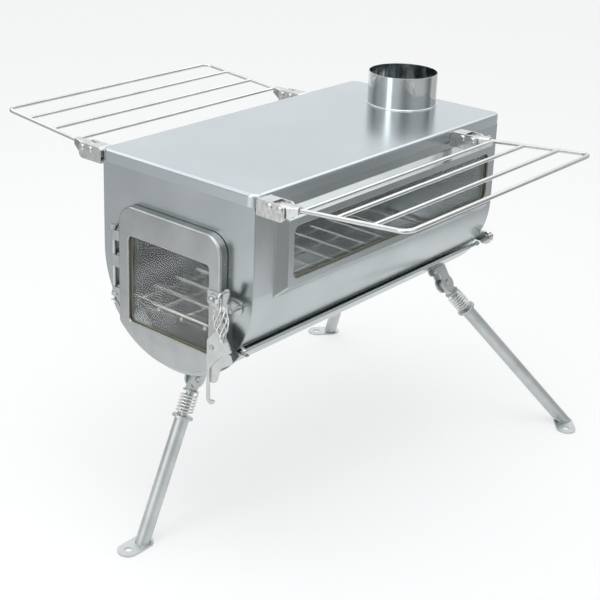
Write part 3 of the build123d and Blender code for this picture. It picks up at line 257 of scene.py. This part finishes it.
def makeCamera():
    data = bpy.data.cameras.new("photoCamera")
    data.sensor_width = cameraSetup["sensor"]
    data.lens = cameraSetup["lens"]
    data.shift_x, data.shift_y = cameraSetup["shift"]
    data.clip_start, data.clip_end = cameraSetup["clip"]
    camera = bpy.data.objects.new("photoCamera", data)
    bpy.context.scene.collection.objects.link(camera)
    turn = Euler((math.radians(90 - cameraSetup["elevation"]), 0, math.radians(cameraSetup["azimuth"])))
    roll = Matrix.Rotation(math.radians(cameraSetup["roll"]), 4, "Z")
    camera.matrix_world = Matrix.Translation(cameraSetup["place"]) @ turn.to_matrix().to_4x4() @ roll
    bpy.context.scene.camera = camera


makeFloor()
makeReflectionGlowRing()
makeWorld()
for lampName, lampBox in lamps.items():
    makeLamp(lampName, lampBox)
makeCamera()
bpy.context.scene.view_settings.view_transform = "Standard"
print("stage: studio, lights and camera")


# Steel finishes. All are bare metal, so the colour is the metal's own and the look comes from
# how each surface was rolled, brushed, drawn or tumbled. Grain, ripple, mottle and edge radius
# are sizes in millimetres, and so are the depths

lidSheet = {
    # cold rolled stainless sheet: cool, pale, softly blurred mirror, almost without grain
    "colour": "#C7CFD2", "darker": "#C1C9CD", "roughness": 0.22, "grain": (1.2, 120.0, 45.0),
    "grainDepth": 0.0012, "ripple": 260.0, "rippleDepth": 0.22, "mottle": 140.0, "edge": 0.6,
}
bodySheet = {
    # the same sheet brushed after folding: a little greyer, with the faintest upright streaks
    "colour": "#C2C8C9", "darker": "#B4BBBC", "roughness": 0.25, "grain": (4.0, 14.0, 180.0),
    "grainDepth": 0.0018, "ripple": 150.0, "rippleDepth": 0.50, "mottle": 90.0, "edge": 1.1,
}
doorSheet = {
    # pressed door: satin brushed from side to side
    "colour": "#BDC1C1", "darker": "#ADB1B1", "roughness": 0.26, "grain": (60.0, 4.0, 4.0),
    "grainDepth": 0.0012, "ripple": 80.0, "rippleDepth": 0.30, "mottle": 45.0, "edge": 0.7,
}
collarSheet = {
    # rolled and polished pipe socket: near mirror with faint upright roller lines
    "colour": "#D2D6D7", "darker": "#C8CCCD", "roughness": 0.10, "grain": (2.2, 2.2, 60.0),
    "grainDepth": 0.004, "ripple": 40.0, "rippleDepth": 0.10, "mottle": 35.0, "edge": 0.3,
}
legTube = {
    # zinc grey satin tube and plate, bead blasted: matt and even
    "colour": "#CBCFCF", "darker": "#B9BEBE", "roughness": 0.40, "grain": (0.8, 0.8, 0.8),
    "grainDepth": 0.020, "ripple": 30.0, "rippleDepth": 0.02, "mottle": 35.0, "edge": 0.4,
}
springWire = {
    # hard drawn spring wire, bright
    "colour": "#E2E3E2", "darker": "#D4D6D5", "roughness": 0.14, "grain": (1.4, 1.4, 1.4),
    "grainDepth": 0.006, "ripple": 12.0, "rippleDepth": 0.02, "mottle": 20.0, "edge": 0.1,
}
shelfWire = {
    # drawn stainless wire, lightly polished: satin with fine scratches along it
    "colour": "#DEE0DF", "darker": "#D0D3D2", "roughness": 0.18, "grain": (1.2, 14.0, 1.2),
    "grainDepth": 0.008, "ripple": 25.0, "rippleDepth": 0.03, "mottle": 30.0, "edge": 0.1,
}
stampedSteel = {
    # small stamped fittings, tumbled bright: rounded edges, dimpled mirror
    "colour": "#DFE1E0", "darker": "#C9CBCA", "roughness": 0.12, "grain": (6.0, 6.0, 6.0),
    "grainDepth": 0.55, "ripple": 14.0, "rippleDepth": 0.35, "mottle": 12.0, "edge": 0.7,
}
plainPlate = {
    # flat stamped plate of the hinge, the latch and the air lever: satin, pale, nearly even
    "colour": "#CDD0CF", "darker": "#BFC3C2", "roughness": 0.25, "grain": (3.0, 3.0, 14.0),
    "grainDepth": 0.012, "ripple": 22.0, "rippleDepth": 0.12, "mottle": 16.0, "edge": 0.6,
}
grateWire = {
    # welded wire, bare and bright
    "colour": "#EEEEEB", "darker": "#E2E2DE", "roughness": 0.22, "grain": (3.0, 3.0, 3.0),
    "grainDepth": 0.004, "ripple": 20.0, "rippleDepth": 0.03, "mottle": 25.0, "edge": 0.1,
}

steelPattern = {
    "grainDetail": 3.0,
    "grainRoughness": 0.6,
    "rippleDetail": 1.5,
    "mottleDetail": 2.0,
    "usual": (0.3, 0.7),        # where most values of a noise lie
    "sway": (0.95, 1.06),       # shares of a finish's roughness between which its grain goes
    "edgeSamples": 4,
}


def steelMaterial(name, finish):
    material, tree, shader = newMaterial(name)
    shader.inputs["Metallic"].default_value = 1.0
    lowest, highest = steelPattern["usual"]
    coordinates = addNode(tree, "ShaderNodeTexCoord")
    place = coordinates.outputs["Object"]
    along = addNode(tree, "ShaderNodeMapping", {"Scale": [perMetre(size) for size in finish["grain"]]},
                    {"Vector": place})
    grain = addNode(tree, "ShaderNodeTexNoise",
                    {"Scale": 1.0, "Detail": steelPattern["grainDetail"],
                     "Roughness": steelPattern["grainRoughness"]},
                    {"Vector": along.outputs[0]})
    ripple = addNode(tree, "ShaderNodeTexNoise",
                     {"Scale": perMetre(finish["ripple"]), "Detail": steelPattern["rippleDetail"]},
                     {"Vector": place})
    cloud = addNode(tree, "ShaderNodeTexNoise",
                    {"Scale": perMetre(finish["mottle"]), "Detail": steelPattern["mottleDetail"]},
                    {"Vector": place})
    tone = addNode(tree, "ShaderNodeMapRange", {"From Min": lowest, "From Max": highest},
                   {"Value": cloud.outputs["Fac"]})
    colour = addNode(tree, "ShaderNodeMix",
                     {"A": linearFromHex(finish["colour"]), "B": linearFromHex(finish["darker"])},
                     {"Factor": tone.outputs[0]}, data_type="RGBA")
    tree.links.new(colour.outputs["Result"], shader.inputs["Base Color"])
    smoother, rougher = (finish["roughness"] * share for share in steelPattern["sway"])
    rough = addNode(tree, "ShaderNodeMapRange",
                    {"From Min": lowest, "From Max": highest, "To Min": smoother, "To Max": rougher},
                    {"Value": grain.outputs["Fac"]})
    tree.links.new(rough.outputs[0], shader.inputs["Roughness"])
    rounded = addNode(tree, "ShaderNodeBevel", {"Radius": finish["edge"] * millimetre},
                      samples=steelPattern["edgeSamples"])
    sway = addNode(tree, "ShaderNodeBump", {"Strength": 1.0, "Distance": finish["rippleDepth"] * millimetre},
                   {"Height": ripple.outputs["Fac"], "Normal": rounded.outputs[0]})
    fine = addNode(tree, "ShaderNodeBump", {"Strength": 1.0, "Distance": finish["grainDepth"] * millimetre},
                   {"Height": grain.outputs["Fac"], "Normal": sway.outputs[0]})
    tree.links.new(fine.outputs[0], shader.inputs["Normal"])
    return material


paneGlass = {
    # clear ceramic glass with the faintest smoke film: it shows what lies behind it, mirrors little
    "clear": "#FAFAF6",
    "smoky": "#F0F0E8",
    "filmSize": 50.0,
    "filmDetail": 2.0,
    "roughness": 0.0,
    "ior": 1.46,
    "mirror": 0.2,
    "bent": 0.12,           # the rest of the light passes straight, as through a thin clean pane
}


def glassMaterial():
    material, tree, shader = newMaterial("clearCeramicGlass")
    shader.inputs["Roughness"].default_value = paneGlass["roughness"]
    shader.inputs["IOR"].default_value = paneGlass["ior"]
    shader.inputs["Specular IOR Level"].default_value = paneGlass["mirror"]
    shader.inputs["Transmission Weight"].default_value = 1.0
    shader.inputs["Alpha"].default_value = paneGlass["bent"]
    coordinates = addNode(tree, "ShaderNodeTexCoord")
    film = addNode(tree, "ShaderNodeTexNoise",
                   {"Scale": perMetre(paneGlass["filmSize"]), "Detail": paneGlass["filmDetail"]},
                   {"Vector": coordinates.outputs["Object"]})
    tint = addNode(tree, "ShaderNodeMix",
                   {"A": linearFromHex(paneGlass["clear"]), "B": linearFromHex(paneGlass["smoky"])},
                   {"Factor": film.outputs["Fac"]}, data_type="RGBA")
    tree.links.new(tint.outputs["Result"], shader.inputs["Base Color"])
    return material


gasketTape = {
    # woven glass-fibre tape: matt, off-white browned by its binder
    "pale": "#C2C1AC",
    "brown": "#8D8B72",
    "thread": 1.6,
    "threadDepth": 0.3,
    "threadStrength": 0.8,
    "roughness": 0.95,
    "mirror": 0.2,
}


def gasketMaterial():
    material, tree, shader = newMaterial("wovenGlassTape")
    coordinates = addNode(tree, "ShaderNodeTexCoord")
    threads = addNode(tree, "ShaderNodeTexChecker",
                      {"Scale": perMetre(gasketTape["thread"]), "Color1": linearFromHex(gasketTape["pale"]),
                       "Color2": linearFromHex(gasketTape["brown"])},
                      {"Vector": coordinates.outputs["Object"]})
    tree.links.new(threads.outputs["Color"], shader.inputs["Base Color"])
    depth = gasketTape["threadDepth"] * millimetre
    bump = addNode(tree, "ShaderNodeBump", {"Strength": gasketTape["threadStrength"], "Distance": depth},
                   {"Height": threads.outputs["Fac"]})
    tree.links.new(bump.outputs[0], shader.inputs["Normal"])
    shader.inputs["Roughness"].default_value = gasketTape["roughness"]
    shader.inputs["Specular IOR Level"].default_value = gasketTape["mirror"]
    return material


slotMaterials = {
    "lid_steel": steelMaterial("coldRolledStainlessLid", lidSheet),
    "body_steel": steelMaterial("brushedStainlessBody", bodySheet),
    "door_steel": steelMaterial("satinPressedDoor", doorSheet),
    "collar_steel": steelMaterial("polishedPipeSocket", collarSheet),
    "leg_steel": steelMaterial("satinZincTube", legTube),
    "spring_steel": steelMaterial("brightSpringWire", springWire),
    "wire_steel": steelMaterial("drawnStainlessWire", shelfWire),
    "fitting_steel": steelMaterial("tumbledStampedSteel", stampedSteel),
    "grate_steel": steelMaterial("weldedGrateWire", grateWire),
    "glass": glassMaterial(),
    "gasket": gasketMaterial(),
}

# Pieces whose own finish differs from the rest of their slot

plateNodes = ("air_lever", "latch_base", "latch_keeper", "latch_lever", "hinge_body_knuckles",
              "hinge_door_knuckles", "rear_strip")
plateMaterial = steelMaterial("satinStampedPlate", plainPlate)
finishOf = {node: plateMaterial for node in plateNodes}
finishOf["grip_cage"] = slotMaterials["spring_steel"]


def dressNodes():
    for part in frame["record"]["subparts"]:
        piece = cadNodes[part["node"]]
        material = finishOf.get(part["node"], slotMaterials[part["material_slot"]])
        if not piece.material_slots:
            piece.data.materials.append(material)
        for slot in piece.material_slots:
            slot.material = material


dressNodes()
print("stage: materials on", len(cadNodes), "nodes")
